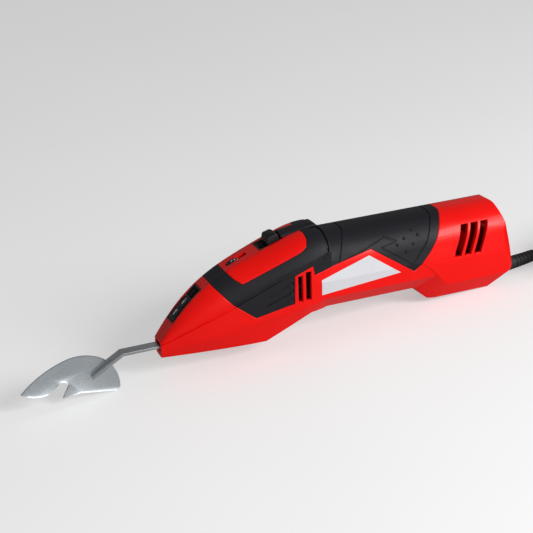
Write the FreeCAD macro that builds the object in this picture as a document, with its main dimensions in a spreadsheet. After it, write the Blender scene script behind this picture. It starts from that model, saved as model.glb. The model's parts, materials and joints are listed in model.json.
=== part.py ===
import FreeCAD, Part
import math
import os
import re
from types import SimpleNamespace
from FreeCAD import Vector as V, Placement, Rotation

# Mains-powered oscillating scraper, lying on its blade and its tail.
# Tool frame used while modelling: X from the nose face to the tail, Z up, the motor axis and
# the blade in the plane y = 0, z = 0 on the flat belly. Millimetres throughout.

os.makedirs("parts", exist_ok=True)
doc = FreeCAD.newDocument("power_scraper")

# Driving dimensions

SIZES = [
    # housing
    ("body_length", 281, "nose face to rearmost point"),
    ("wall", 3.2, "housing wall"),
    ("grip_depth", 1.5, "thickness of the soft grip moulded into the housing"),
    ("seam_gap", 0.04, "gap between the two housing halves"),
    ("nose_half_width", 8.4, "half width of the nose face at its widest"),
    ("belly_end", 78, "rear end of the flat belly"),
    ("handle_start", 113, "where the belly slope reaches the handle's underside"),
    ("handle_bottom", 16.7, "height of the handle's underside over the belly plane"),
    ("handle_top", 73.8, "height of the handle's top"),
    ("handle_half_width", 27, "half width of the handle"),
    ("hood_end", 128, "rear edge of the hood over the handle"),
    ("hood_top", 77, "top of the hood at its rear edge"),
    ("tail_start", 198, "front of the deep tail"),
    ("tail_bottom", 5.1, "height of the tail's underside"),
    ("axis_height", 44, "motor axis over the belly plane"),
    # blade and clamp
    ("tang_width", 10, "width of the blade's steel strip"),
    ("tang_thick", 2, "thickness of the strip"),
    ("tang_height", 8, "height of the strip's middle plane"),
    ("tang_reach", 27, "straight length of the strip in front of the nose"),
    ("tang_inside", 32, "length of the strip inside the nose"),
    ("blade_thick", 1.8, "thickness of the blade plate"),
    ("pin_place", 22, "clamp pin behind the nose face"),
    ("pin_radius", 2.2, "clamp pin radius"),
    ("pin_head_radius", 3.6, "clamp pin head radius"),
    ("pin_travel", 1, "release stroke of the clamp pin"),
    ("slide_fit", 0.1, "clearance of the strip and of sliding pieces in their guides"),
    ("run_fit", 0.04, "running clearance on a radius"),
    # swing arm
    ("pivot_place", 45, "swing pivot behind the nose face"),
    ("pivot_height", 20, "swing pivot over the belly plane"),
    ("pivot_radius", 3, "pivot pin radius"),
    ("bush_wall", 1.5, "wall of the pivot bushes"),
    ("arm_half_width", 6.8, "half width of the swing arm"),
    ("fork_gap", 9.2, "half opening of the fork round the eccentric bearing"),
    # motor
    ("eccentric_offset", 0.5, "throw of the eccentric"),
    ("eccentric_place", 84, "front face of the eccentric bearing"),
    ("eccentric_width", 6, "width of the eccentric bearing"),
    ("eccentric_outer", 8, "outer radius of the eccentric bearing"),
    ("eccentric_bore", 3, "radius of the eccentric journal"),
    ("front_bearing_place", 94, "front face of the front bearing"),
    ("front_bearing_width", 7, "front bearing width"),
    ("front_bearing_outer", 11, "front bearing outer radius"),
    ("shaft_radius", 4, "rotor shaft radius in the front bearing and the core"),
    ("fan_place", 104, "front face of the fan"),
    ("fan_width", 9, "fan width"),
    ("fan_radius", 19, "fan radius"),
    ("core_place", 156, "front face of the motor core"),
    ("core_length", 40, "core length"),
    ("armature_radius", 11.3, "armature radius"),
    ("air_gap", 0.4, "air gap between armature and field"),
    ("field_radius", 21, "outer radius of the field core"),
    ("commutator_place", 212, "front end of the commutator"),
    ("commutator_length", 16, "commutator length"),
    ("commutator_radius", 8, "commutator radius"),
    ("brush_width", 5, "carbon brush width along the axis"),
    ("rear_bearing_place", 234, "front face of the rear bearing"),
    ("rear_bearing_width", 6, "rear bearing width"),
    ("rear_bearing_outer", 9.5, "rear bearing outer radius"),
    ("rear_journal", 3, "shaft radius in the rear bearing"),
    # controls
    ("dial_radius", 9, "speed wheel radius"),
    ("dial_width", 4.4, "speed wheel width"),
    ("dial_place", 64, "speed wheel behind the nose face"),
    ("knob_travel", 6, "stroke of the power slider"),
    ("knob_half_width", 7, "half width of the power slider's knob"),
    ("lock_travel", 7, "stroke of the blade lock slider"),
    ("lock_half_width", 5.4, "half width of the lock slider"),
    # cord
    ("cord_diameter", 7, "rubber cable diameter"),
    ("guard_length", 30, "free length of the cord guard"),
    ("guard_radius", 5.8, "cord guard radius at the housing"),
    ("plug_pin_radius", 2, "plug pin radius"),
    ("plug_pin_length", 19, "plug pin length"),
    ("plug_pin_pitch", 18.6, "distance between the plug pins"),
]

sheet = doc.addObject("Spreadsheet::Sheet", "Sizes")
for row, (alias, value, note) in enumerate(SIZES, start=1):
    sheet.set(f"A{row}", alias)
    sheet.set(f"B{row}", str(value))
    sheet.set(f"C{row}", note)
    sheet.setAlias(f"B{row}", alias)
doc.recompute()
d = SimpleNamespace(**{alias: float(sheet.get(alias)) for alias, _, _ in SIZES})
ALIASES = re.compile(r"\b(" + "|".join(alias for alias, _, _ in SIZES) + r")\b")

X, Y, Z = V(1, 0, 0), V(0, 1, 0), V(0, 0, 1)
NEAR, FAR = -1, 1
WIDE = 200
NODES = {}


def bind(obj, **formulas):
    """Ties properties of an object to formulas over the sheet's names."""
    for prop, formula in formulas.items():
        obj.setExpression(prop, ALIASES.sub(r"Sizes.\1", str(formula)))
    return obj


def node(label, obj):
    """Registers an object as the sub-part of that name."""
    obj.Label = label
    NODES[label] = obj
    return obj


def shape_node(label, shape):
    """A sub-part whose form needs Part's own functions."""
    obj = doc.addObject("Part::Feature", label)
    obj.Shape = shape
    return node(label, obj)


def cylinder(name, radius, length, base, axis=X):
    obj = doc.addObject("Part::Cylinder", name)
    bind(obj, Radius=radius, Height=length)
    obj.Placement = Placement(V(*base), Rotation(Z, axis))
    return obj


def cut(name, base, *tools):
    """Base minus every tool, as a chain of booleans."""
    for tool in tools:
        result = doc.addObject("Part::Cut", name)
        result.Base, result.Tool = base, tool
        base = result
    return base


def fuse(name, *pieces):
    obj = doc.addObject("Part::MultiFuse", name)
    obj.Shapes = list(pieces)
    return obj


def ring(name, outer, inner, length, base, axis=X):
    return cut(name, cylinder(name + "_outside", outer, length, base, axis),
               cylinder(name + "_bore", inner, length, base, axis))


# Plain helpers on shapes

def tube(r_out, r_in, x0, length, axis=X, y=0.0, z=None):
    """A ring about a line through (x0, y, z), z being the motor axis unless given."""
    at = V(x0, y, d.axis_height if z is None else z)
    outside = Part.makeCylinder(r_out, length, at, axis)
    return outside.cut(Part.makeCylinder(r_in, length, at, axis)) if r_in else outside


def block(x0, x1, y0, y1, z0, z1):
    return Part.makeBox(x1 - x0, y1 - y0, z1 - z0, V(x0, y0, z0))


def half_space(point, normal):
    """A large block whose base lies on the plane and which fills the side of its normal."""
    space = Part.makeBox(WIDE, WIDE, WIDE, V(-WIDE / 2, -WIDE / 2, 0))
    space.Placement = Placement(point, Rotation(Z, normal))
    return space


def side_prism(points, y0=-WIDE / 2, y1=WIDE / 2):
    """A prism across the tool over an outline of (x, z) points."""
    wire = Part.makePolygon([V(x, y0, z) for x, z in points + points[:1]])
    return Part.Face(wire).extrude(V(0, y1 - y0, 0))


def arc(a, b, c):
    return Part.Arc(a, b, c).toShape()


def line(a, b):
    return Part.LineSegment(a, b).toShape()


# Housing outline: every solid is drawn `depth` inside the outer skin

def hood_section(x, low, facet, crease, top, depth):
    """Section of nose and hood: half widths and heights (w, z) of its four corners."""
    (wb, zb), (wm, zm), (wc, zc), (wt, zt) = low, facet, crease, top
    corner = [(wb - 0.6 * depth, zb + depth), (wm - depth, zm + 0.3 * depth),
              (wc - depth, zc - 0.2 * depth), (wt - 0.5 * depth, zt - depth)]
    (wb, zb), (wm, zm), (wc, zc), (wt, zt) = corner
    bulge = (0.5 * (wc + wt) + 0.16 * (zt - zc), 0.5 * (zc + zt) + 0.16 * (wc - wt))
    p = lambda w, z: V(x, w, z)
    edges = [line(p(-wb, zb), p(wb, zb)), line(p(wb, zb), p(wm, zm)), line(p(wm, zm), p(wc, zc)),
             arc(p(wc, zc), p(*bulge), p(wt, zt)), line(p(wt, zt), p(-wt, zt)),
             arc(p(-wt, zt), p(-bulge[0], bulge[1]), p(-wc, zc)), line(p(-wc, zc), p(-wm, zm)),
             line(p(-wm, zm), p(-wb, zb))]
    return Part.Wire(edges)


def hood_solid(depth):
    """Nose and hood, lofted along the tool, cut by the nose face and the belly slope."""
    n = d.nose_half_width
    w = d.handle_half_width
    stations = [
        (0, (0.72 * n, 0), (0.92 * n, 4), (n, 10), (0.78 * n, 12.7)),
        (12, (n, 0), (1.32 * n, 7), (1.4 * n, 15.4), (n, 26.6)),
        (31, (11.5, 0), (16.5, 11), (17.2, 24), (9, 44.2)),
        (54, (14.5, 0), (21, 16), (22, 34.3), (9.5, 57.8)),
        (88, (15, 0), (w - 2.5, 22), (w, 49.6), (11, 70.6)),
        (d.hood_end, (4, 5), (w - 3.6, 28), (w + 1.5, 64), (12, d.hood_top)),
    ]
    wires = [hood_section(x, *corners, depth) for x, *corners in stations]
    solid = Part.makeLoft(wires, True, False)
    if depth > 0:
        solid = solid.common(block(depth, d.hood_end + 1, -WIDE, WIDE, -WIDE, WIDE))
    return solid


def handle_section(x, depth, tail=False):
    w, top, low = d.handle_half_width - depth, d.handle_top - depth, d.handle_bottom + depth
    if tail:
        low = d.tail_bottom + depth
        side = [(0.5 * w, low), (w - 3.5, low + 13), (w, 35.5), (w - 0.8, 49.6)]
    else:
        side = [(0.52 * w, low), (w - 2.5, low + 10.5), (w, 41), (w - 0.8, 49.6)]
    r = top - side[-1][1]
    centre_y, bend = side[-1][0] - r, r * math.sqrt(0.5)
    shoulder, crown = (centre_y + bend, top - r + bend), (centre_y, top)
    p = lambda a, z: V(x, a, z)
    right = [p(*c) for c in side]
    edges = [line(p(-side[0][0], low), right[0])]
    edges += [line(a, b) for a, b in zip(right, right[1:])]
    edges += [arc(right[-1], p(*shoulder), p(*crown)), line(p(*crown), p(-crown[0], top)),
              arc(p(-crown[0], top), p(-shoulder[0], shoulder[1]), p(-side[-1][0], side[-1][1]))]
    left = [p(-a, z) for a, z in reversed(side)]
    edges += [line(a, b) for a, b in zip(left, left[1:])]
    return Part.Face(Part.Wire(edges))


REAR_SLANT = (-11, 43)


def handle_solid(depth):
    """The handle as a straight bar from inside the hood to the tail."""
    start = d.handle_start - 6 + depth
    return handle_section(start, depth).extrude(V(d.tail_start + 30 - start, 0, 0))


def bend_points(before, corner, after, setback, count=6):
    """Points of an even bend that takes off a corner of an (x, z) outline."""
    def on_the_way(a):
        run = V(a[0] - corner[0], a[1] - corner[1], 0).normalize() * setback
        return corner[0] + run.x, corner[1] + run.y
    a, c = on_the_way(before), on_the_way(after)
    return [tuple((1 - t) ** 2 * a[i] + 2 * t * (1 - t) * corner[i] + t * t * c[i] for i in (0, 1))
            for t in (k / count for k in range(count + 1))]


TOP_REAR_BEND = 3


def tail_solid(depth):
    """The deep tail: section along the tool, cut to its side profile, rear corners rounded."""
    front, rear = d.tail_start + depth, d.body_length - depth
    bar = handle_section(front - 20, depth, tail=True).extrude(V(rear + 20 - front + 20, 0, 0))
    low, high = d.tail_bottom, d.handle_top
    dx, dz = REAR_SLANT
    lean = dx / dz
    corner = (rear, 25)
    top_rear = (rear + lean * (high - depth - 25), high - depth)
    profile = [(front - 2, high + 20), (front - 2, 18 + depth), (front + 14, low - 1),
               (rear - 20, low - 1), corner]
    profile += bend_points(corner, top_rear, (front, top_rear[1]), TOP_REAR_BEND)
    profile += [(top_rear[0] - TOP_REAR_BEND, high + 20)]
    solid = bar.common(side_prism(profile))
    for side in (NEAR, FAR):
        normal = V(-103, 249 * side, -139).normalize()
        corner = V(d.tail_start + 15.5, 25 * side, 27.3)
        solid = solid.cut(half_space(corner - normal * depth, normal))
    return solid.common(rear_rounding(rear, depth))


def rear_rounding(rear, depth):
    """A bar with a round-cornered plan that stands steeper than the tail's rear face: it
    rounds the two rear corners, less and less towards the top."""
    lean, radius, half = -0.1, 15.0, d.handle_half_width + 0.5 - depth
    end = rear + 0.6 - lean * 25
    c = radius * math.sqrt(0.5)
    p = lambda x, y: V(x, y, 0)
    ax, ay = end - radius, half - radius
    edges = [line(p(100, -half), p(ax, -half)),
             arc(p(ax, -half), p(ax + c, -ay - c), p(end, -ay)), line(p(end, -ay), p(end, ay)),
             arc(p(end, ay), p(ax + c, ay + c), p(ax, half)), line(p(ax, half), p(100, half)),
             line(p(100, half), p(100, -half))]
    return Part.Face(Part.Wire(edges)).extrude(V(lean * 90, 0, 90))


def belly_cut(depth):
    """Everything under the belly slope and the handle's underside."""
    zb, zh = depth, d.handle_bottom + depth
    x0, x1 = d.belly_end - 0.3 * depth, d.handle_start - 0.3 * depth
    return side_prism([(x0, zb), (x1, zh), (d.hood_end + 1, zh), (d.hood_end + 1, -20), (x0, -20)])


def skin(depth):
    """The whole outer form, `depth` inside the real surface."""
    front = hood_solid(depth).cut(belly_cut(depth))
    return front.fuse([handle_solid(depth), tail_solid(depth)]).removeSplitter()



# Slanted frames: u runs up the slope towards the tail, n stands off the surface

def slope_frame(x, z, degrees):
    return Placement(V(x, 0, z), Rotation(Y, -degrees))


LOCK_FRAME = slope_frame(10.5, 25.0, 42.6)
KNOB_FRAME = slope_frame(80.3, 68.0, 14.0)
LOCK_TRACK = SimpleNamespace(length=32, half=7, deep=4.5, rim=1.2)
KNOB_TRACK = SimpleNamespace(length=18.6, half=8.2, deep=4.5, rim=1.2)


def slope_block(frame, u0, u1, half, n0, n1):
    solid = Part.makeBox(u1 - u0, 2 * half, n1 - n0, V(u0, -half, n0))
    solid.Placement = frame
    return solid


# Soft grip: its outline seen from the side, with the red island and the vent panel left free

GRIP_FRONT = [(36, 58), (41.5, 49), (53, 35.5), (69, 22.6)]
GRIP_LOWER = [(98.3, 28.8), (99, 50.4), (113, 55.9), (114.4, 48.6), (125.6, 51.2), (160.5, 58.8)]
GRIP_REAR = [(194.4, 35), (200.3, 39.8), (207.7, 47.6), (213.4, 55.7), (217.8, 63.9), (221.3, 69.7),
             (224, 73), (226, 90)]
ISLAND = [(53, 57), (56.5, 53), (61.5, 49.5), (106.5, 66.8), (110.5, 69.6), (112.5, 74), (113, 90),
          (30, 90)]
ISLAND_NECK = 98.5


def grip_region():
    region = side_prism(GRIP_FRONT + GRIP_LOWER + GRIP_REAR + [(36, 90)])
    island = side_prism(ISLAND)
    saddle = block(ISLAND_NECK, 130, -d.knob_half_width, d.knob_half_width, 50, 100)
    return region.cut(island.cut(saddle))


def strip(points, width):
    """A band of that width along a line of (x, z) points, right across the tool."""
    bands = []
    for (x0, z0), (x1, z1) in zip(points, points[1:]):
        run = V(x1 - x0, 0, z1 - z0)
        band = Part.makeBox(run.Length, WIDE, width, V(0, -WIDE / 2, -width / 2))
        band.Placement = Placement(V(x0, 0, z0), Rotation(X, run))
        bands.append(band)
    return bands[0].fuse(bands[1:]) if bands[1:] else bands[0]


GROOVE_DEPTH = 0.7
GROOVES = [
    [(145, 90), (144.5, 73), (142, 70.2), (138.6, 64.7), (136.2, 58.5), (134, 52.5), (172.5, 64.8),
     (181.5, 60.5), (168.5, 58.2), (192.5, 41)],
    [(192.5, 41), (198.6, 47.7), (205.1, 55.7), (209.5, 63.9), (213.5, 70), (215.5, 73), (216, 90)],
]
RIB_GROOVES = [[(97, 44.6), (80, 37)], [(97.2, 38.2), (77, 30.5)], [(97.4, 32), (84, 27.3)]]
RIB_ENDS = [[(x, z - 1.6), (x, z + 1.4)] for (x, z), _ in RIB_GROOVES]

# Crease from the nose to the rear of the hood, (x, z, half width): wide in the grip, fine on the nose
CREASE = [(-1, 9.9, 0.3), (12, 15.4, 0.4), (31, 24, 0.6), (54, 34.3, 1.1), (88, 49.6, 1.3),
          (122.5, 61.6, 1.3)]
CREASE_TOP = [(122.5, 61.6), (125.6, 66), (126, 90)]
CREASE_DEPTH = 1.2


def tapered_strip(points):
    """A band of changing width along a rising line of (x, z, half width), right across the tool."""
    upper = [(x, z + 1.1 * half) for x, z, half in points]
    lower = [(x, z - 1.1 * half) for x, z, half in points]
    return side_prism(lower + upper[::-1])


outer = skin(0)
under_grip = skin(d.grip_depth)
cavity = skin(d.wall)
grips = outer.common(grip_region()).cut(under_grip)
groove_layer = outer.cut(skin(GROOVE_DEPTH))
for route in GROOVES + RIB_GROOVES:
    grips = grips.cut(strip(route, 0.9).common(groove_layer))
for route in RIB_ENDS:
    grips = grips.cut(strip(route, 1.4).common(groove_layer))
crease = tapered_strip(CREASE).fuse(strip(CREASE_TOP, 2.2)).common(outer.cut(skin(CREASE_DEPTH)))
grips = grips.cut(crease)

# Housing: two halves with ribs that carry the motor, bosses for the screws, and openings

SEAT_FIT = d.slide_fit
shell = outer.cut(outer.common(grip_region()).cut(under_grip)).cut(cavity).cut(crease)


def rib(x, thick, hole, low=-WIDE, high=WIDE):
    """A wall across the housing with a round seat on the motor axis."""
    wall = cavity.common(block(x, x + thick, -WIDE, WIDE, low, high))
    return wall.cut(tube(hole + SEAT_FIT, 0, x - 1, thick + 2))


FRAME_RADIUS = 19.0
BOOT_WALL = 3.0
BOOT_RADIUS = d.rear_bearing_outer + BOOT_WALL
CARRIER_RADIUS = 21.0
CARRIER_PLACE = d.commutator_place + 1.5
ribs = [rib(d.front_bearing_place + 1.5, 4, FRAME_RADIUS, high=d.axis_height + FRAME_RADIUS),
        rib(d.core_place + 4, 3, d.field_radius),
        rib(d.core_place + d.core_length - 7, 3, d.field_radius),
        rib(CARRIER_PLACE + 0.2, 1.8, CARRIER_RADIUS),
        rib(d.rear_bearing_place + 1, 4, BOOT_RADIUS, low=d.axis_height - BOOT_RADIUS - 0.5)]

SCREWS = [(66, 8.2, 15), (134, 23.5, 18), (134, 58.5, 21), (207, 24, 18), (207, 60, 20), (262, 56, 19)]
SCREW_RADIUS, HEAD_RADIUS, HEAD_HEIGHT, BOSS_RADIUS = 1.5, 3.0, 2.4, 4.2
bosses, screws, screw_holes = [], [], []
for x, z, seat in SCREWS:
    post = Part.makeCylinder(BOSS_RADIUS, WIDE, V(x, -WIDE / 2, z), Y)
    bosses.append(cavity.common(post))
    shank = Part.makeCylinder(SCREW_RADIUS, seat + 16, V(x, -16, z), Y)
    head = Part.makeCylinder(HEAD_RADIUS, HEAD_HEIGHT, V(x, seat, z), Y)
    slot = block(x - 2, x + 2, seat + HEAD_HEIGHT - 1, seat + HEAD_HEIGHT + 1, z - 0.4, z + 0.4)
    screws.append(shank.fuse(head).cut(slot))
    screw_holes.append(Part.makeCylinder(SCREW_RADIUS + SEAT_FIT, seat + 17, V(x, -17, z), Y))
    screw_holes.append(Part.makeCylinder(HEAD_RADIUS + 0.3, WIDE, V(x, seat, z), Y))

# Tail: ledges for the control board
BOARD = SimpleNamespace(x0=228, x1=264, half=16, z=21.5, thick=1.6)
ledges = []
for x in (BOARD.x0 + 2, BOARD.x1 - 8):
    for side in (NEAR, FAR):
        y = sorted((side * (BOARD.half - 1.5), side * WIDE))
        ledges.append(cavity.common(block(x, x + 4, y[0], y[1], BOARD.z - 2, BOARD.z)))

# Pivot bosses, which carry the pin of the swing arm
pivot_seat = Part.makeCylinder(d.pivot_radius + 3, WIDE, V(d.pivot_place, -WIDE / 2, d.pivot_height), Y)
arm_room = block(0, 150, -d.arm_half_width - 0.5, d.arm_half_width + 0.5, -WIDE, WIDE)
pivot_bosses = cavity.common(pivot_seat).cut(arm_room)
PIVOT_REACH = 14.0
pivot_hole = Part.makeCylinder(d.pivot_radius + SEAT_FIT, 2 * PIVOT_REACH,
                               V(d.pivot_place, -PIVOT_REACH, d.pivot_height), Y)

# Seat of the speed control beside its wheel
DIAL_CREST = 62.2
DIAL = V(d.dial_place, 0, DIAL_CREST - d.dial_radius)
POT = SimpleNamespace(length=11, below=5.2, above=2.2, y0=d.dial_width / 2 + 0.5, y1=9.5)
pot_seat = cavity.common(block(DIAL.x - 3, DIAL.x + 3, POT.y1, WIDE, DIAL.z - 5, DIAL.z))

# Hangers for the switch under the hood
SWITCH = SimpleNamespace(x0=103.2, x1=123, half=8, z0=63.8, z1=70.0)
hangers = [cavity.common(block(x, x + 2.5, -SWITCH.half, SWITCH.half, SWITCH.z1, 90))
           for x in (SWITCH.x0 + 2, SWITCH.x1 - 5)]

shell = shell.fuse(ribs + bosses + ledges + hangers + [pivot_bosses, pot_seat])

# Openings
NOSE_SLOT = SimpleNamespace(half=6, z0=4.6, z1=11.4)
openings = [block(-1, d.wall + 0.5, -NOSE_SLOT.half, NOSE_SLOT.half, NOSE_SLOT.z0, NOSE_SLOT.z1)]
FRONT_VENTS = [(101.4, 104.8, 29.4, 49.8), (107.4, 111.4, 29.6, 52)]
TAIL_VENTS = SimpleNamespace(count=3, first=227.6, pitch=8.3, width=5.7, z0=39.8, z1=62.8, lean=8.2)
for side in (NEAR, FAR):
    y = sorted((side * 14, side * WIDE / 2))
    for x0, x1, z0, z1 in FRONT_VENTS:
        openings.append(block(x0, x1, y[0], y[1], z0, z1))
    for i in range(TAIL_VENTS.count):
        x0 = TAIL_VENTS.first + i * TAIL_VENTS.pitch
        x1 = x0 + TAIL_VENTS.width
        slot = [(x0, TAIL_VENTS.z0), (x1, TAIL_VENTS.z0), (x1 + TAIL_VENTS.lean, TAIL_VENTS.z1),
                (x0 + TAIL_VENTS.lean, TAIL_VENTS.z1)]
        openings.append(side_prism(slot, y[0], y[1]))
openings.append(slope_block(LOCK_FRAME, 0, LOCK_TRACK.length, LOCK_TRACK.half, -LOCK_TRACK.deep, 20))
openings.append(slope_block(KNOB_FRAME, 0, KNOB_TRACK.length, KNOB_TRACK.half, -KNOB_TRACK.deep, 20))
DIAL_SLOT = 7.2
DIAL_ROOM = 0.4
openings.append(Part.makeCylinder(d.dial_radius + DIAL_ROOM, d.dial_width + 2 * DIAL_ROOM,
                                  DIAL - V(0, d.dial_width / 2 + DIAL_ROOM, 0), Y))
openings.append(block(DIAL.x - DIAL_SLOT + 0.7, DIAL.x + DIAL_SLOT + 0.7,
                      -d.dial_width / 2 - DIAL_ROOM, d.dial_width / 2 + DIAL_ROOM, DIAL.z, 100))

# Cord axis: it falls by 2 degrees once the tool lies on its blade and tail
BLADE_LOW = V(-34.2, 0, -20)
TAIL_EDGE = V(d.body_length - 20 + 1, 0, d.tail_bottom)
TILT = math.degrees(math.atan2(TAIL_EDGE.z - BLADE_LOW.z, TAIL_EDGE.x - BLADE_LOW.x))
CORD_FALL = 2.0
CORD_EXIT = V(269.5, 0, 12.9)
cord_frame = Placement(CORD_EXIT, Rotation(Y, CORD_FALL - TILT))
NECK_RADIUS = d.guard_radius - 0.6
neck_hole = Part.makeCylinder(NECK_RADIUS + SEAT_FIT, 30, V(-11, 0, 0), X)
guard_hole = Part.makeCylinder(d.guard_radius + SEAT_FIT, 20, V(0, 0, 0), X)
for hole in (neck_hole, guard_hole):
    hole.Placement = cord_frame
    openings.append(hole)

wire_room = block(SWITCH.x1, 250, -2, 2, 65.2, 68.6).common(cavity)
shell = shell.cut(screw_holes + openings + [pivot_hole, wire_room])
half_box = {NEAR: block(-10, 300, -WIDE, -d.seam_gap / 2, -50, 150),
            FAR: block(-10, 300, d.seam_gap / 2, WIDE, -50, 150)}
for side, name in ((NEAR, "left"), (FAR, "right")):
    shape_node("housing_" + name, shell.common(half_box[side]))
    clear = [slope_block(KNOB_FRAME, 0, KNOB_TRACK.length, KNOB_TRACK.half + 0.1, -6, 20)]
    shape_node("grip_" + name, grips.common(half_box[side]).cut(clear + screw_holes))

# Labels on both flanks, thin plates that follow the surface
LABEL = [(119.6, 43), (158.3, 54.6), (183, 36.6), (119.9, 30.9)]
LABEL_THICK = 0.25
label_plates = skin(-LABEL_THICK).cut(outer).common(side_prism(LABEL))
for side, name in ((NEAR, "left"), (FAR, "right")):
    shape_node("label_" + name, label_plates.common(half_box[side]))

shape_node("housing_screws", Part.makeCompound(screws))

# Blade lock on the nose: a track let into the housing and the slider in it

def tray(frame, track, windows):
    """A shallow tray with a rim; windows are (u0, u1, half) holes in its floor."""
    body = slope_block(frame, 0, track.length, track.half, -track.deep, 0.3)
    inside = slope_block(frame, track.rim, track.length - track.rim, track.half - track.rim,
                         1.2 - track.deep, 20)
    holes = [slope_block(frame, u0, u1, half, -20, 0) for u0, u1, half in windows]
    return body.cut([inside] + holes)


LOCK_START, LOCK_LENGTH, LOCK_FLOOR = 1.5, 21.0, 1.3 - LOCK_TRACK.deep
KNOB_END, KNOB_FLOOR = KNOB_TRACK.length - KNOB_TRACK.rim - 0.2, 1.3 - KNOB_TRACK.deep
FOOT = SimpleNamespace(u0=13.0, u1=15.0, half=2.0, low=-9.0)
shape_node("lock_track", tray(LOCK_FRAME, LOCK_TRACK,
                              [(FOOT.u0 - 0.3, FOOT.u1 + d.lock_travel + 0.3, FOOT.half + 0.3)]))
lock = slope_block(LOCK_FRAME, LOCK_START, LOCK_START + LOCK_LENGTH, d.lock_half_width, LOCK_FLOOR, 0.4)
for u in (1.5, 11.5):
    pad = slope_block(LOCK_FRAME, LOCK_START + u, LOCK_START + u + 8.6, d.lock_half_width - 0.7, 0.4, 1.1)
    lock = lock.fuse(pad)
foot = slope_block(LOCK_FRAME, FOOT.u0, FOOT.u1, FOOT.half, FOOT.low, LOCK_FLOOR)
shape_node("lock_slider", lock.fuse(foot).removeSplitter())

# Power slider: knob in its tray, leg down to the switch, guard rail behind it

LEG = SimpleNamespace(u0=13.4, u1=16.4, half=2.5, low=-7.4)
shape_node("switch_track", tray(KNOB_FRAME, KNOB_TRACK,
                                [(LEG.u0 - d.knob_travel - 0.3, LEG.u1 + 0.3, LEG.half + 0.3)]))
KNOB_START = KNOB_TRACK.rim + 0.2 + d.knob_travel
knob_outline = [(KNOB_START, KNOB_FLOOR), (KNOB_START, 2.0), (KNOB_START + 3, 7.9),
                (KNOB_START + 4.6, 8.0), (KNOB_END, 4.8), (KNOB_END, KNOB_FLOOR)]
KNOB_ARCH = 9.5
knob = side_prism(knob_outline, -d.knob_half_width + 0.3, d.knob_half_width - 0.3)
knob = knob.common(Part.makeCylinder(KNOB_ARCH, 30, V(0, 0, 8.0 - KNOB_ARCH), X))
knob = knob.fuse(block(LEG.u0, LEG.u1, -LEG.half, LEG.half, LEG.low, KNOB_FLOOR))
knob.Placement = KNOB_FRAME
leg_foot = KNOB_FRAME.multVec(V(LEG.u0, 0, LEG.low))
rod = block(leg_foot.x + 2, SWITCH.x0 - 0.3, -1.5, 1.5, leg_foot.z + 0.4, leg_foot.z + 2.2)
shape_node("power_slider", knob.fuse(rod).removeSplitter())
RAIL = [(94, 60), (94, 76.6), (99, 77.4), (118, 80.4), (123.5, 80.2), (127.6, 76.4), (127.6, 60)]
RAIL_ARCH = 12
rail = side_prism(RAIL, -d.knob_half_width, d.knob_half_width)
arch = Part.makeCylinder(RAIL_ARCH, 60, V(-20, 0, 0), X)
arch.Placement = slope_frame(99, 77.4 - RAIL_ARCH, 9)
rail = rail.common(arch)
shape_node("switch_rail", rail.cut(outer.fuse(slope_block(KNOB_FRAME, 0, KNOB_TRACK.length + 0.1,
                                                         KNOB_TRACK.half, -6, 20))))

# PartDesign bodies

def design_body(name):
    return doc.addObject("PartDesign::Body", name)


def sketch(body, plane, edges, name):
    """A closed sketch of the given edges on one of the body's own planes."""
    sk = body.newObject("Sketcher::SketchObject", name)
    origin = [f for f in body.Origin.OriginFeatures if f.Role == plane][0]
    sk.AttachmentSupport = [(origin, "")]
    sk.MapMode = "FlatFace"
    for edge in edges:
        sk.addGeometry(edge, False)
    return sk


def outline(points):
    """Sketch edges through (x, y) points; a point given as (x, y, "arc") is the middle of an arc."""
    edges, i, count = [], 0, len(points)
    while i < count:
        a, b = points[i], points[(i + 1) % count]
        if len(b) == 3:
            c = points[(i + 2) % count]
            edges.append(Part.Arc(V(*a[:2], 0), V(*b[:2], 0), V(*c[:2], 0)))
            i += 2
        else:
            edges.append(Part.LineSegment(V(*a[:2], 0), V(*b[:2], 0)))
            i += 1
    return edges


def circle(x, y, r):
    return [Part.Circle(V(x, y, 0), Z, r)]


def pad(body, profile, length, name, symmetric=True):
    feature = body.newObject("PartDesign::Pad", name)
    feature.Profile = profile
    bind(feature, Length=length)
    feature.SideType = "Symmetric" if symmetric else "One side"
    return feature


def pocket(body, profile, length, name):
    """A pocket to both sides of its sketch, which has to take material away."""
    doc.recompute()
    before = body.Shape.Volume
    feature = body.newObject("PartDesign::Pocket", name)
    feature.Profile = profile
    bind(feature, Length=length)
    feature.SideType = "Symmetric"
    doc.recompute()
    if body.Shape.Volume >= before - 0.01:
        raise ValueError(name + " cuts nothing")
    return feature


# Blade: polished plate welded into the fork of a steel strip

BEND = SimpleNamespace(drop=29.0, length=27.5)
tang_low, tang_high = d.tang_height - d.tang_thick / 2, d.tang_height + d.tang_thick / 2
slope = math.radians(BEND.drop)
run = V(-math.cos(slope), -math.sin(slope), 0)
off = V(-math.sin(slope), math.cos(slope), 0)
bend_low = V(-d.tang_reach, tang_low, 0)
bend_high = V(-d.tang_reach - d.tang_thick * math.tan(slope / 2), tang_high, 0)
end_low, end_high = bend_low + run * BEND.length, bend_high + run * BEND.length
strip_outline = [(d.tang_inside, tang_low), (d.tang_inside, tang_high), (bend_high.x, bend_high.y),
                 (end_high.x, end_high.y), (end_low.x, end_low.y), (bend_low.x, bend_low.y)]
SOCKET_END = -35.6
tang = design_body("BladeTang")
pad(tang, sketch(tang, "XZ_Plane", outline(strip_outline), "StripSide"), "tang_width", "Strip")
notch_x = d.pin_place - 0.3
notch = [(d.tang_inside + 1, d.pin_radius + 0.3), (notch_x, d.pin_radius + 0.3),
         (notch_x - d.pin_radius - 0.3, 0, "arc"), (notch_x, -d.pin_radius - 0.3),
         (d.tang_inside + 1, -d.pin_radius - 0.3)]
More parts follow.
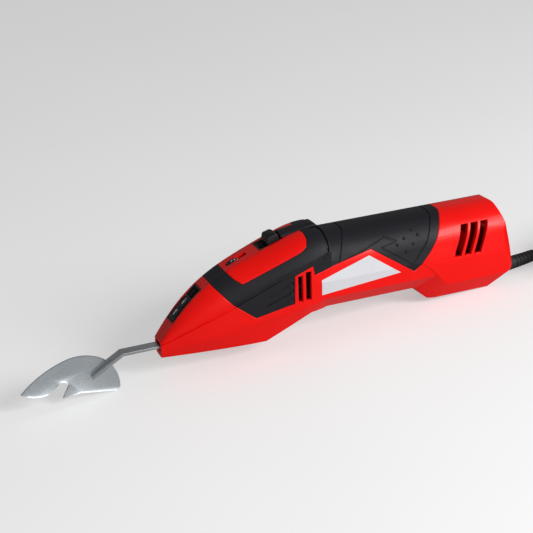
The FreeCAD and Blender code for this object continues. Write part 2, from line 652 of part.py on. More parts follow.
pocket(tang, sketch(tang, "XY_Plane", outline(notch), "PinNotch"), "4 * tang_height", "PinSlot")
half = d.blade_thick / 2
fork_slot = [(-90, -half), (SOCKET_END, -half), (SOCKET_END, half), (-90, half)]
pocket(tang, sketch(tang, "XY_Plane", outline(fork_slot), "ForkSlot"), "6 * tang_height", "Fork")
node("blade_tang", tang)

TIP, HOOK, HEEL = (-102.5, -8.3), (-73.3, -17.2), (BLADE_LOW.x, BLADE_LOW.z)
blade_outline = [TIP, (-87.4, 2.9, "arc"), (-69, 10.6), (-53.2, 11.3, "arc"), (-40.2, 5.7),
                 (-33.6, -2.8, "arc"), (-31.1, -13), (-31.2, -17.2), HEEL, (-60.5, -16.0), HOOK,
                 (-67.8, -8.1), (-71.4, -5.0, "arc"), (-76, -6.9), (-82.6, -12.1),
                 (-90.5, -12.6, "arc"), (-97, -11)]
blade = design_body("BladePlate")
pad(blade, sketch(blade, "XZ_Plane", outline(blade_outline), "BladeSide"), "blade_thick", "Plate")
node("blade_plate", blade)

# Swing arm: holds the strip in front, rides on the pivot pin, its fork embraces the eccentric

JAW = SimpleNamespace(x0=12.0, x1=33.0, low=4.4, high=14.0)
fork_low, fork_high = d.axis_height - d.fork_gap, d.axis_height + d.fork_gap
prong = 4.0
fork_end = d.eccentric_place + d.eccentric_width + 1
yoke = d.eccentric_place - 4
px, pz = d.pivot_place, d.pivot_height
boss = d.pivot_radius + d.bush_wall + 3.2
arm_outline = [(JAW.x0, JAW.low), (JAW.x1, JAW.low), (px + 2, pz - boss), (px + boss, pz - 3),
               (yoke - 3, fork_low - prong), (fork_end, fork_low - prong), (fork_end, fork_low),
               (yoke, fork_low), (yoke, fork_high), (fork_end, fork_high),
               (fork_end, fork_high + prong), (yoke - 3, fork_high + prong),
               (yoke - 3, d.axis_height - 2), (px + boss + 1, pz + boss - 1), (px, pz + boss),
               (px - boss, pz + 2), (JAW.x1, JAW.high), (JAW.x0, JAW.high)]
arm = design_body("SwingArm")
pad(arm, sketch(arm, "XZ_Plane", outline(arm_outline), "ArmSide"), "2 * arm_half_width", "Arm")
pocket(arm, sketch(arm, "XZ_Plane", circle(px, pz, d.pivot_radius + d.bush_wall), "BushSeat"),
       "4 * arm_half_width", "BushBore")
strip_gap = d.tang_thick / 2 + d.slide_fit
guide = [(0, d.tang_height - strip_gap), (d.tang_inside + d.slide_fit, d.tang_height - strip_gap),
         (d.tang_inside + d.slide_fit, d.tang_height + strip_gap), (0, d.tang_height + strip_gap)]
pocket(arm, sketch(arm, "XZ_Plane", outline(guide), "StripGuide"), "tang_width + 2 * slide_fit",
       "Guide")
arm_solid = doc.addObject("Part::Cut", "ArmWithPinBore")
arm_solid.Base = arm
arm_solid.Tool = fuse("PinBores",
                      cylinder("PinShankBore", "pin_radius + slide_fit", "3 * tang_height",
                               (d.pin_place, 0, d.tang_height), Z),
                      cylinder("PinHeadBore", "pin_head_radius + 2 * slide_fit", "tang_height",
                               (d.pin_place, 0, 0), Z))
node("swing_arm", arm_solid)

bush_length = d.arm_half_width - 0.8
bushes = [ring(f"Bush{i}", "pivot_radius + bush_wall", "pivot_radius + run_fit", bush_length,
               (px, y, pz), Y) for i, y in enumerate((-d.arm_half_width, 0.8))]
node("pivot_bushes", fuse("PivotBushes", *bushes))
node("pivot_pin", cylinder("PivotPin", "pivot_radius", 2 * PIVOT_REACH - 0.2,
                           (px, -PIVOT_REACH + 0.1, pz), Y))

PIN = SimpleNamespace(head=1.8, top=18.5, cap=1.8, cap_radius=4.0)
head_z = tang_low - d.slide_fit - PIN.head - 0.1
node("clamp_pin", fuse("ClampPin",
                       cylinder("PinHead", "pin_head_radius", PIN.head, (d.pin_place, 0, head_z), Z),
                       cylinder("PinShank", "pin_radius", PIN.top + 1 - head_z,
                                (d.pin_place, 0, head_z), Z),
                       cylinder("PinCap", PIN.cap_radius, PIN.cap, (d.pin_place, 0, PIN.top), Z)))

SPRING = SimpleNamespace(wire=0.35, radius=3.1, coils=2.5)
spring_height = PIN.top - d.pin_travel - 0.1 - JAW.high - 2 * SPRING.wire - 0.1
helix = Part.makeHelix(spring_height / SPRING.coils, spring_height, SPRING.radius)
profile = Part.Wire(Part.makeCircle(SPRING.wire, V(SPRING.radius, 0, 0), Y))
spring = Part.Wire(helix.Edges).makePipeShell([profile], True, True)
spring.translate(V(d.pin_place, 0, JAW.high + SPRING.wire + 0.05))
shape_node("clamp_spring", spring)

# Motor: rotor

EC, EW = d.eccentric_place, d.eccentric_width
SHAFT_END = d.rear_bearing_place + d.rear_bearing_width + 1.5
journal = tube(d.eccentric_bore, 0, EC - 1, d.front_bearing_place - EC - 0.5, y=NEAR * d.eccentric_offset)
flange = tube(d.shaft_radius, 0, EC + EW + 0.3, d.front_bearing_place - EC - EW)
main = tube(d.shaft_radius, 0, d.front_bearing_place - 1, d.rear_bearing_place - d.front_bearing_place - 2)
rear = tube(d.rear_journal, 0, d.rear_bearing_place - 5, SHAFT_END - d.rear_bearing_place + 5)
shape_node("rotor_shaft", journal.fuse([flange, main, rear]).removeSplitter())


def ball_bearing(name, place, width, bore, outside, y=0.0):
    """Inner ring, outer ring and balls of a bearing, as three shapes."""
    pitch, ball = (bore + outside) / 2, 0.28 * (outside - bore)
    race = 0.42 * (outside - bore)
    inner, outer_ring = tube(bore + race - 0.2, bore, place, width, y=y), None
    outer_ring = tube(outside, outside - race + 0.2, place, width, y=y)
    groove = Part.makeTorus(pitch, ball + 0.03, V(place + width / 2, y, d.axis_height), X)
    count = int(math.pi * pitch / ball * 0.72)
    balls = []
    for i in range(count):
        angle = 2 * math.pi * i / count
        at = V(place + width / 2, y + pitch * math.cos(angle), d.axis_height + pitch * math.sin(angle))
        balls.append(Part.makeSphere(ball, at))
    return inner.cut(groove), outer_ring.cut(groove), Part.makeCompound(balls)


for name, place, width, bore, outside in (
        ("front_bearing", d.front_bearing_place, d.front_bearing_width, d.shaft_radius,
         d.front_bearing_outer),
        ("rear_bearing", d.rear_bearing_place, d.rear_bearing_width, d.rear_journal,
         d.rear_bearing_outer)):
    inner, outer_ring, balls = ball_bearing(name, place, width, bore, outside)
    shape_node(name + "_inner", inner)
    shape_node(name + "_outer", outer_ring)
    shape_node(name + "_balls", balls)
inner, outer_ring, balls = ball_bearing("eccentric", EC, EW, d.eccentric_bore, d.eccentric_outer,
                                        y=NEAR * d.eccentric_offset)
shape_node("eccentric_bearing", Part.makeCompound([inner, outer_ring, balls]))

BLADES = 13
FAN_HUB, FAN_DISC = 7.0, 1.6
fan = tube(d.fan_radius, d.shaft_radius, d.fan_place + d.fan_width - FAN_DISC, FAN_DISC)
fan = fan.fuse(tube(FAN_HUB, d.shaft_radius, d.fan_place, d.fan_width))
for i in range(BLADES):
    vane = block(d.fan_place + 0.8, d.fan_place + d.fan_width - FAN_DISC / 2, -0.6, 0.6,
                 FAN_HUB - 0.5, d.fan_radius - 0.6)
    vane.rotate(V(0, 0, 0), X, 360 * i / BLADES)
    vane.translate(V(0, 0, d.axis_height))
    fan = fan.fuse(vane)
shape_node("fan", fan)

SLOTS = 12
WINDING_RADIUS = d.armature_radius - 0.9
core = tube(d.armature_radius, d.shaft_radius, d.core_place, d.core_length)
slots = []
for i in range(SLOTS):
    cutter = block(d.core_place - 1, d.core_place + d.core_length + 1, -0.8, 0.8, 7.6, 20)
    cutter.rotate(V(0, 0, 0), X, 360 * i / SLOTS)
    cutter.translate(V(0, 0, d.axis_height))
    slots.append(cutter)
shape_node("armature_core", core.cut(slots))
head_front, head_rear = 9.0, 10.0
windings = tube(WINDING_RADIUS, d.shaft_radius, d.core_place - head_front, head_front)
windings = windings.fuse(tube(WINDING_RADIUS, d.shaft_radius, d.core_place + d.core_length, head_rear))
shape_node("armature_windings", Part.makeCompound(windings.Solids))

COM, COM_L = d.commutator_place, d.commutator_length
commutator = tube(d.commutator_radius, d.shaft_radius, COM, COM_L)
commutator = commutator.fuse(tube(d.commutator_radius + 1.6, d.shaft_radius, COM, 2.2))
cuts = []
for i in range(2 * SLOTS):
    cutter = block(COM + 2.4, COM + COM_L + 1, -0.3, 0.3, d.commutator_radius - 0.8, 20)
    cutter.rotate(V(0, 0, 0), X, 180 * i / SLOTS)
    cutter.translate(V(0, 0, d.axis_height))
    cuts.append(cutter)
shape_node("commutator", commutator.cut(cuts))

# Motor: fixed pieces

frame_x, frame_end = d.front_bearing_place - 1.5, d.front_bearing_place + d.front_bearing_width + 1
drive_frame = tube(FRAME_RADIUS, d.front_bearing_outer, frame_x, frame_end - frame_x)
lip = tube(d.front_bearing_outer, d.front_bearing_outer - 2, frame_end - 1, 1)
notches = [tube(FRAME_RADIUS + 1, FRAME_RADIUS - 4, frame_end - 4, 5)]
shape_node("drive_frame", drive_frame.cut(notches).fuse(lip).removeSplitter())

bore = d.armature_radius + d.air_gap
yoke_inner, pole_angle = 16.5, 52
field = tube(d.field_radius, bore, d.core_place, d.core_length)
coil_room = tube(yoke_inner, bore - 1, d.core_place - 1, d.core_length + 2)
poles = []
for sign in (1, -1):
    wedge = Part.makePolygon([V(0, 0, 0), V(0, -60 * math.tan(math.radians(pole_angle)), 60 * sign),
                              V(0, 60 * math.tan(math.radians(pole_angle)), 60 * sign), V(0, 0, 0)])
    prism = Part.Face(wedge).extrude(V(300, 0, 0))
    prism.translate(V(0, 0, d.axis_height))
    poles.append(prism)
shape_node("field_core", field.cut(coil_room.cut(poles)))
coil = tube(yoke_inner - 0.05, bore + 0.5, d.core_place - 7, d.core_length + 14).cut(poles)
shape_node("field_windings", Part.makeCompound(coil.Solids))

CARRIER_THICK, CARRIER_BORE = 11.0, 12.5
BRUSH_X = CARRIER_PLACE + CARRIER_THICK / 2
BOX_HALF, BOX_WALL = d.brush_width / 2 + 0.15, 0.7
carrier = tube(CARRIER_RADIUS, CARRIER_BORE, CARRIER_PLACE, CARRIER_THICK)
z = d.axis_height
brush_room = block(BRUSH_X - BOX_HALF - BOX_WALL, BRUSH_X + BOX_HALF + BOX_WALL, -WIDE, WIDE,
                   z - BOX_HALF - BOX_WALL, z + BOX_HALF + BOX_WALL)
shape_node("brush_carrier", carrier.cut(brush_room))
holders, brushes, brush_springs = [], [], []
for side in (NEAR, FAR):
    span = sorted((side * (d.commutator_radius + 1.5), side * (CARRIER_RADIUS + 1)))
    box = block(BRUSH_X - BOX_HALF - BOX_WALL, BRUSH_X + BOX_HALF + BOX_WALL, span[0], span[1],
                z - BOX_HALF - BOX_WALL, z + BOX_HALF + BOX_WALL)
    inside = block(BRUSH_X - BOX_HALF, BRUSH_X + BOX_HALF, *sorted((side * 5, side * CARRIER_RADIUS)),
                   z - BOX_HALF, z + BOX_HALF)
    tab_y = sorted((side * CARRIER_RADIUS, side * (CARRIER_RADIUS + 1)))
    tab = block(BRUSH_X, BRUSH_X + 11, *tab_y, z + 1, z + 6)
    holders.append(box.cut(inside).fuse(tab).removeSplitter())
    brush_y = sorted((side * (d.commutator_radius + 0.1), side * (CARRIER_RADIUS - 4.5)))
    brush = block(BRUSH_X - d.brush_width / 2, BRUSH_X + d.brush_width / 2, *brush_y,
                  z - d.brush_width / 2, z + d.brush_width / 2)
    brushes.append(brush.cut(tube(d.commutator_radius + 0.1, 0, COM - 1, COM_L + 2)))
    post_y = min(side * (CARRIER_RADIUS - 4.5), side * CARRIER_RADIUS)
    brush_springs.append(Part.makeCylinder(1.9, 4.5, V(BRUSH_X, post_y, z), Y))
shape_node("brush_holders", Part.makeCompound(holders))
shape_node("carbon_brushes", Part.makeCompound(brushes))
shape_node("brush_springs", Part.makeCompound(brush_springs))

boot_x, boot_length = d.rear_bearing_place, d.rear_bearing_width + 1.8
boot = tube(BOOT_RADIUS, d.rear_bearing_outer, boot_x, boot_length)
shape_node("bearing_boot", boot.fuse(tube(d.rear_bearing_outer, d.rear_journal + 2,
                                          boot_x + d.rear_bearing_width, 1.8)).removeSplitter())

# Speed wheel and its control

wheel = design_body("SpeedDial")
pad(wheel, sketch(wheel, "XZ_Plane", circle(0, 0, d.dial_radius), "Rim"), "dial_width", "Wheel")
pocket(wheel, sketch(wheel, "XZ_Plane", circle(0, 0, 1.5 + d.run_fit), "Axle"), "3 * dial_width",
       "AxleBore")
knurls = []
for i in range(30):
    tooth = block(-0.35, 0.35, -WIDE, WIDE, d.dial_radius - 0.45, d.dial_radius + 2)
    tooth.rotate(V(0, 0, 0), Y, 12 * i)
    knurls.append(tooth)
doc.recompute()
dial_shape = wheel.Shape.cut(knurls)
dial_shape.translate(DIAL)
shape_node("speed_dial", dial_shape)
pot = block(DIAL.x - POT.length / 2, DIAL.x + POT.length / 2, POT.y0, POT.y1,
            DIAL.z - POT.below, DIAL.z + POT.above)
axle = Part.makeCylinder(1.5, d.dial_width + 1, V(DIAL.x, -d.dial_width / 2 - 0.4, DIAL.z), Y)
shape_node("speed_control", pot.fuse(axle).removeSplitter())

# Switch under the knob, on a bracket from the hood

switch = block(SWITCH.x0, SWITCH.x1, -SWITCH.half, SWITCH.half, SWITCH.z0, SWITCH.z1)
shape_node("switch_unit", switch)

# Electronics in the tail

board = block(BOARD.x0, BOARD.x1, -BOARD.half, BOARD.half, BOARD.z, BOARD.z + BOARD.thick)
shape_node("control_board", board)
top = BOARD.z + BOARD.thick
parts = [block(230, 243, -12, -3, top, top + 6), Part.makeCylinder(4, 7, V(236, 6, top)),
         block(249, 256, 3, 12, top, top + 7), Part.makeCylinder(3, 8, V(260, -9, top)),
         block(246, 250, -13, -5, top, top + 9)]
shape_node("board_parts", Part.makeCompound(parts))

# Wire bundle over the motor, from the switch down to the board
WIRE_RADIUS, WIRE_BEND = 1.3, 8.0
wire_z, wire_x = 67.0, 246.0
c45 = WIRE_BEND * (1 - math.sqrt(0.5))
route = Part.Wire([
    line(V(SWITCH.x1, 0, wire_z), V(wire_x - WIRE_BEND, 0, wire_z)),
    arc(V(wire_x - WIRE_BEND, 0, wire_z), V(wire_x - c45, 0, wire_z - c45),
        V(wire_x, 0, wire_z - WIRE_BEND)),
    line(V(wire_x, 0, wire_z - WIRE_BEND), V(wire_x, 0, top))])
ring_at_switch = Part.Wire(Part.makeCircle(WIRE_RADIUS, V(SWITCH.x1, 0, wire_z), X))
shape_node("lead_wires", route.makePipeShell([ring_at_switch], True, False))

# Rest pose: the tool lies on the heel of its blade and the rear edge of its tail

lift = Rotation(Y, TILT)
rest = Placement(V(0, 0, 0), lift)
low = rest.multVec(TAIL_EDGE)
tip_x, tail_x = rest.multVec(V(TIP[0], 0, TIP[1])).x, rest.multVec(V(d.body_length, 0, 25)).x
REST = Placement(V(-(tip_x + tail_x) / 2, 0, -low.z), lift)
print("tilt", round(TILT, 3), "rest", REST)

for obj in NODES.values():
    obj.Placement = REST.multiply(obj.Placement)

# Cord: guard, free lead, coil on the floor beside the tail, tie and plug, in the resting frame

exit_point = REST.multVec(CORD_EXIT)
cord_axis = REST.multiply(cord_frame)
cord_radius = d.cord_diameter / 2
BORE = cord_radius + 0.1
GUARD_BORE = cord_radius + 0.4
cone = Part.makeCone(d.guard_radius, cord_radius + 1.1, d.guard_length, V(0, 0, 0), X)
neck = Part.makeCylinder(NECK_RADIUS, 10.0, V(-10.0, 0, 0), X)
guard = neck.fuse(cone).cut(Part.makeCylinder(GUARD_BORE, 80, V(-30, 0, 0), X)).removeSplitter()
guard.Placement = cord_axis
shape_node("cord_guard", guard)

CLAMP = SimpleNamespace(u0=-16.0, u1=-10.7, half=11.5, low=8.3, top=18.2, screw=8.2)
clamp = block(CORD_EXIT.x + CLAMP.u0, CORD_EXIT.x + CLAMP.u1, -CLAMP.half, CLAMP.half,
              CLAMP.low, CLAMP.top)
through = Part.makeCylinder(BORE, 80, V(-60, 0, 0), X)
through.Placement = cord_frame
screw_x = CORD_EXIT.x + (CLAMP.u0 + CLAMP.u1) / 2
clamp_screws, clamp_holes = [], []
for side in (NEAR, FAR):
    at = V(screw_x, side * CLAMP.screw, CLAMP.low + 1)
    shank = Part.makeCylinder(1.2, CLAMP.top - at.z, at)
    clamp_screws.append(shank.fuse(Part.makeCylinder(2.3, 1.5, V(at.x, at.y, CLAMP.top))))
    clamp_holes.append(Part.makeCylinder(1.2 + SEAT_FIT, CLAMP.top, V(at.x, at.y, CLAMP.low + 0.9)))
shape_node("cord_clamp", clamp.cut([through] + clamp_holes)).Placement = REST
shape_node("clamp_screws", Part.makeCompound(clamp_screws)).Placement = REST


def rounded_route(points):
    """Straight runs joined by tangent arcs, each as large as its two runs allow."""
    edges, here, radii = [], points[0], []
    for a, b, c in zip(points, points[1:], points[2:]):
        into, out = (b - a).normalize(), (c - b).normalize()
        half_turn = into.getAngle(out) / 2
        setback = 0.45 * min((b - a).Length, (c - b).Length)
        radius = setback / math.tan(half_turn)
        start, end = b - into * setback, b + out * setback
        towards = (out - into).normalize()
        middle = b + towards * (radius / math.cos(half_turn) - radius)
        edges += [line(here, start), arc(start, middle, end)]
        here = end
        radii.append(radius)
    edges.append(line(here, points[-1]))
    print("cord radii", [round(r) for r in radii], "runs",
          [round((q - p).Length) for p, q in zip(points, points[1:])])
    return Part.Wire(edges)


def cord_tube(wire, start, direction):
    profile = Part.Wire(Part.makeCircle(cord_radius, start, direction))
    return wire.makePipeShell([profile], True, False)


TIE_THICK = 0.9
# Coil: loops wound inwards on the floor, outwards over them and inwards again on top, where the
# last half turn climbs to the plug that lies on the coil
COIL_MEAN, TURN_PITCH, LAYER_PITCH = 10 * d.cord_diameter, d.cord_diameter + 0.6, d.cord_diameter + 0.6
LAYER_HALVES = 5
COIL_STEPS = ([-0.5] * (LAYER_HALVES + 1) + [1] + [0.5] * (LAYER_HALVES - 1) + [-1]
              + [-0.5] * (LAYER_HALVES - 2))
COIL_LEVELS = [0] * LAYER_HALVES + [1] * LAYER_HALVES + [2] * (LAYER_HALVES - 1)
COIL_OUT = COIL_MEAN / 2 + 1.5 * TURN_PITCH
COIL_ROOM = 0.4
coil_floor = cord_radius + TIE_THICK + COIL_ROOM
top_of_coil = coil_floor + 2 * LAYER_PITCH + cord_radius
PLUG = SimpleNamespace(length=38, half_width=17.6, half_height=6.9, rear=5.6, nose=13, gap=13)
plug_height = top_of_coil + PLUG.half_height + 0.1
coil_y = d.handle_half_width + 1.5 - cord_radius - COIL_OUT
lead_in = [exit_point + cord_axis.Rotation.multVec(V(u, 0, 0)) for u in (-20, 46)]
lead_in.append(V(lead_in[-1].x + 40, coil_y + COIL_OUT, coil_floor))
centre = V(lead_in[-1].x + 30, coil_y, coil_floor)
lead_in.append(centre + V(0, COIL_OUT, 0))


def biarc(p, t, q, s):
    """Two arcs from p along t to q along s."""
    v, turn = q - p, 1 - t.dot(s)
    reach = (math.sqrt(v.dot(t + s) ** 2 + 2 * turn * v.dot(v)) - v.dot(t + s)) / (2 * turn)
    joint = (p + q + (t - s) * reach) * 0.5
    return [arc(p, arc_middle(p, t, joint), joint), arc(joint, arc_middle(q, s * -1, joint), q)]


def arc_middle(p, t, joint):
    """Middle of the arc that leaves p along t and ends at joint."""
    chord = joint - p
    side = (t - chord * (t.dot(chord) / chord.dot(chord))).normalize()
    return (p + joint) * 0.5 + side * (chord.Length / 2 * math.tan(t.getAngle(chord) / 2))


def coil_wire():
    """Half turns about shifting centres; `reach` is how far each one ends from the coil's centre."""
    reach, side = COIL_OUT, 1
    point = centre + V(0, side * reach, 0)
    edges = [line(point - V(d.cord_diameter, 0, 0), point)]
    for i, step in enumerate(COIL_STEPS):
        reach, side = reach + step * TURN_PITCH, -side
        height = COIL_LEVELS[i] * LAYER_PITCH if i < len(COIL_LEVELS) else plug_height - coil_floor
        end = centre + V(0, side * reach, height)
        edges += biarc(point, V(-side, 0, 0), end, V(side, 0, 0))
        point = end
    end = point + V(side * d.cord_diameter, 0, 0)
    edges.append(line(point, end))
    return Part.Wire(edges), end


def least_gap(wire, step=2.0):
    """Smallest clear distance between stretches of the tube that aren't neighbours."""
    points = wire.discretize(Distance=step)
    skip = int(3.2 * d.cord_diameter / step) + 1
    best = min((points[i] - points[j]).Length
               for i in range(len(points)) for j in range(i + skip, len(points)))
    return best - d.cord_diameter


wound, coil_end = coil_wire()
coil_start = centre + V(-d.cord_diameter, COIL_OUT, 0)
lead_in[-1] = coil_start
shape_node("cord_coil", cord_tube(wound, coil_start, X))
lead_wire = rounded_route(lead_in)
shape_node("cord_lead", cord_tube(lead_wire, lead_in[0], cord_axis.Rotation.multVec(X)))

# Flat plug with two round pins, lying on the coil
lead_out = [coil_end, coil_end - V(PLUG.gap, 0, 0)]
plug_rear = lead_out[-1]
shape_node("cord_end", cord_tube(Part.Wire([line(*lead_out)]), coil_end, V(-1, 0, 0)))
print("coil least gap", round(least_gap(wound), 2), "length", round(wound.Length),
      "lead", round(lead_wire.Length), "end", PLUG.gap)


def rounded_face(x, half_y, half_z, r):
    """A round-cornered rectangle at x, as a wire of lines and arcs."""
    k = r * (1 - math.sqrt(0.5))
    y, z = half_y, half_z
    p = lambda v, w: V(x, v, w)
    return Part.Wire([
        line(p(r - y, z), p(y - r, z)), arc(p(y - r, z), p(y - k, z - k), p(y, z - r)),
        line(p(y, z - r), p(y, r - z)), arc(p(y, r - z), p(y - k, k - z), p(y - r, -z)),
        line(p(y - r, -z), p(r - y, -z)), arc(p(r - y, -z), p(k - y, k - z), p(-y, r - z)),
        line(p(-y, r - z), p(-y, z - r)), arc(p(-y, z - r), p(k - y, z - k), p(r - y, z))])


P = PLUG
body = Part.makeLoft([rounded_face(x, hy, hz, r) for x, hy, hz, r in (
    (0, P.rear, P.rear, 4), (0.6 * (P.length - P.nose), P.half_width - 4, P.half_height - 0.8, 4.5),
    (P.length - P.nose, P.half_width, P.half_height, 4.5))], True, True)
front = Part.Face(rounded_face(P.length - P.nose, P.half_width, P.half_height, 4.5)).extrude(V(P.nose, 0, 0))
plug = body.fuse(front).removeSplitter()
PIN_ROOT = SimpleNamespace(wall=0.6, length=6)
pins, roots = [], []
for side in (NEAR, FAR):
    y = side * d.plug_pin_pitch / 2
    root = Part.makeCylinder(d.plug_pin_radius + PIN_ROOT.wall, PIN_ROOT.length, V(P.length - PIN_ROOT.length, y, 0), X)
    free = Part.makeCylinder(d.plug_pin_radius, d.plug_pin_length, V(P.length, y, 0), X)
    roots.append(root)
    pins.append(root.fuse(free))
plug_frame = Placement(plug_rear, Rotation(Z, 180))
print("plug frame", [[round(c, 4) for c in v] for v in (plug_rear, plug_frame.Rotation.multVec(X))])
shape_node("plug_body", plug.cut(roots)).Placement = plug_frame
shape_node("plug_pins", Part.makeCompound(pins)).Placement = plug_frame

# Tie round the coil's cords, towards the tool
TIE = SimpleNamespace(width=8, angle=65)
tie_in = COIL_OUT - 3 * TURN_PITCH - cord_radius - 0.8
tie_out = COIL_OUT + cord_radius + 0.6
tie_low, tie_top = -cord_radius - COIL_ROOM, 2 * LAYER_PITCH + cord_radius + COIL_ROOM
half = TIE.width / 2
tie = block(-half, half, tie_in - TIE_THICK, tie_out + TIE_THICK, tie_low - TIE_THICK, tie_top + TIE_THICK)
tie = tie.cut(block(-9, 9, tie_in, tie_out, tie_low, tie_top))
tie.Placement = Placement(centre, Rotation(Z, TIE.angle))
shape_node("cord_tie", tie)

doc.recompute()
for obj in doc.Objects:
    if {"Invalid", "Error"} & set(obj.State):
        raise RuntimeError(f"{obj.Name} failed: {obj.State}")
for label, obj in NODES.items():
    shape = obj.Shape
    if shape.isNull() or not shape.isValid():
        raise RuntimeError(label + " has no valid shape")
    print(label, len(shape.Solids), round(shape.Volume, 1))
    shape.exportStep(f"parts/{label}.step")
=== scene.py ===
import json
import math
from types import SimpleNamespace

import bmesh
import bpy
from mathutils import Matrix, Vector
from mathutils.bvhtree import BVHTree

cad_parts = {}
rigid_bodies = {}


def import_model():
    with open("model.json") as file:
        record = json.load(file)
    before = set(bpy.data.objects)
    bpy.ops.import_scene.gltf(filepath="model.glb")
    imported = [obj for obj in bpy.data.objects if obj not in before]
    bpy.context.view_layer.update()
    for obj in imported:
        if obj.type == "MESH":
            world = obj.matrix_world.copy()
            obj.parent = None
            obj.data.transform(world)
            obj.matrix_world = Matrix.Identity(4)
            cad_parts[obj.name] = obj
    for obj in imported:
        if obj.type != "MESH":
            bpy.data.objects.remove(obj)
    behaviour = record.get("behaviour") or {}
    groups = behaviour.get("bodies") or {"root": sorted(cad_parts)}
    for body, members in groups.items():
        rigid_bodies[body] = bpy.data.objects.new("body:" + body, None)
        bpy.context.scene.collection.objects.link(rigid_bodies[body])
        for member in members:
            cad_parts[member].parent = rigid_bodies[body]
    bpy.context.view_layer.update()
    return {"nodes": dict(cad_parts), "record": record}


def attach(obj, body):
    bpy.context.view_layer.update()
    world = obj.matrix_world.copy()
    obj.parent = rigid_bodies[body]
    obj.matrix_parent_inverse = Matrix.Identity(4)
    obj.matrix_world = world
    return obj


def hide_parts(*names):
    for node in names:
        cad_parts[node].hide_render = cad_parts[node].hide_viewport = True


for old in list(bpy.data.objects):
    bpy.data.objects.remove(old)

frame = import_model()
NODES = frame["nodes"]

# The tool's own frame, in millimetres, as it lies in the row frame, in metres:
# x from the nose face to the tail, z off the flat belly, y = 0 in the blade's plane.

TILT = math.radians(4.84367)
REST = Matrix.Translation((-0.0896363, 0, 0.0170408)) @ Matrix.Rotation(TILT, 4, "Y") @ Matrix.Scale(0.001, 4)


def at(x, y, z):
    return REST @ Vector((x, y, z))


def mm(x, y, z):
    return Vector((x, y, z)) * 0.001


# Camera, fitted to the photograph's edges

PHOTO_PX = 533
FOCAL_PX = 1300.0
DISTANCE = 953.130
AIM = Vector((87.4064, 0, 51.5203))
AZIMUTH, ELEVATION, ROLL = (math.radians(a) for a in (-18.5813, 20.1866, 4.5317))
back = Vector((math.sin(AZIMUTH) * math.cos(ELEVATION), -math.cos(AZIMUTH) * math.cos(ELEVATION),
               math.sin(ELEVATION)))
right = Vector((math.cos(AZIMUTH), math.sin(AZIMUTH), 0))
up = back.cross(right)
cam_x = right * math.cos(ROLL) - up * math.sin(ROLL)
cam_y = up * math.cos(ROLL) + right * math.sin(ROLL)
turn = REST.to_3x3().normalized()
axes = Matrix([turn @ cam_x, turn @ cam_y, turn @ back]).transposed()
cam_data = bpy.data.cameras.new("Camera")
cam_data.sensor_width = 36.0
cam_data.lens = FOCAL_PX / PHOTO_PX * cam_data.sensor_width
cam_data.clip_start, cam_data.clip_end = 0.01, 50
camera = bpy.data.objects.new("Camera", cam_data)
bpy.context.scene.collection.objects.link(camera)
camera.matrix_world = Matrix.Translation(REST @ (AIM + back * DISTANCE)) @ axes.to_4x4()
bpy.context.scene.camera = camera

# Materials

DRIFT = (0.3, 0.7)  # places on a ramp that a noise's values mostly lie between


class Surface:
    """A node material with helpers for its textures."""

    def __init__(self, name, **sockets):
        self.material = bpy.data.materials.new(name)
        self.material.use_nodes = True
        self.tree = self.material.node_tree
        self.shader = self.tree.nodes["Principled BSDF"]
        self.coords = self.add("ShaderNodeTexCoord").outputs["Object"]
        for socket, value in sockets.items():
            self.shader.inputs[socket.replace("_", " ")].default_value = value

    def add(self, kind, **values):
        made = self.tree.nodes.new(kind)
        for key, value in values.items():
            if key in made.inputs:
                made.inputs[key].default_value = value
            else:
                setattr(made, key, value)
        return made

    def link(self, a, b):
        self.tree.links.new(a, b)

    def noise(self, scale, stretch=(1, 1, 1), detail=3.0, roughness=0.55):
        mapping = self.add("ShaderNodeMapping", Scale=stretch)
        made = self.add("ShaderNodeTexNoise", Scale=scale, Detail=detail, Roughness=roughness)
        self.link(self.coords, mapping.inputs["Vector"])
        self.link(mapping.outputs["Vector"], made.inputs["Vector"])
        return made.outputs["Fac"]

    def ramp(self, fac, values, stops, socket):
        """Drives a socket of the shader from the first value to the second one between two stops."""
        made = self.add("ShaderNodeValToRGB")
        for element, place, value in zip(made.color_ramp.elements, stops, values):
            element.position = place
            element.color = (*value, 1) if isinstance(value, tuple) else (value, value, value, 1)
        self.link(fac, made.inputs["Fac"])
        self.link(made.outputs["Color"], self.shader.inputs[socket])

    def colour(self, fac, dark, light, stops=DRIFT):
        self.ramp(fac, (dark, light), stops, "Base Color")

    def rough(self, fac, low, high):
        self.ramp(fac, (low, high), DRIFT, "Roughness")

    def bump(self, fac, depth_mm, strength):
        made = self.add("ShaderNodeBump", Strength=strength, Distance=depth_mm * 0.001)
        self.link(fac, made.inputs["Height"])
        self.link(made.outputs["Normal"], self.shader.inputs["Normal"])


def moulded(name, dark, light, rough, grain_mm=0.25, depth=0.02, **sockets):
    """Moulded plastic or rubber: slight drift of colour and gloss, fine eroded grain."""
    s = Surface(name, **sockets)
    s.colour(s.noise(18, detail=4), dark, light)
    s.rough(s.noise(60, detail=5), rough - 0.04, rough + 0.04)
    s.bump(s.noise(1000 / grain_mm, detail=2), depth, 0.6)
    return s.material


def metal(name, dark, light, rough, scratch=(1, 1, 1), scale=900, depth=0.004, spread=0.08):
    """Metal with fine streaks along the direction that `scratch` leaves small."""
    s = Surface(name, Metallic=1.0)
    streaks = s.noise(scale, scratch, detail=4, roughness=0.65)
    s.colour(s.noise(30, detail=5), dark, light)
    s.rough(streaks, rough - spread, rough + spread)
    s.bump(streaks, depth, 0.5)
    return s.material


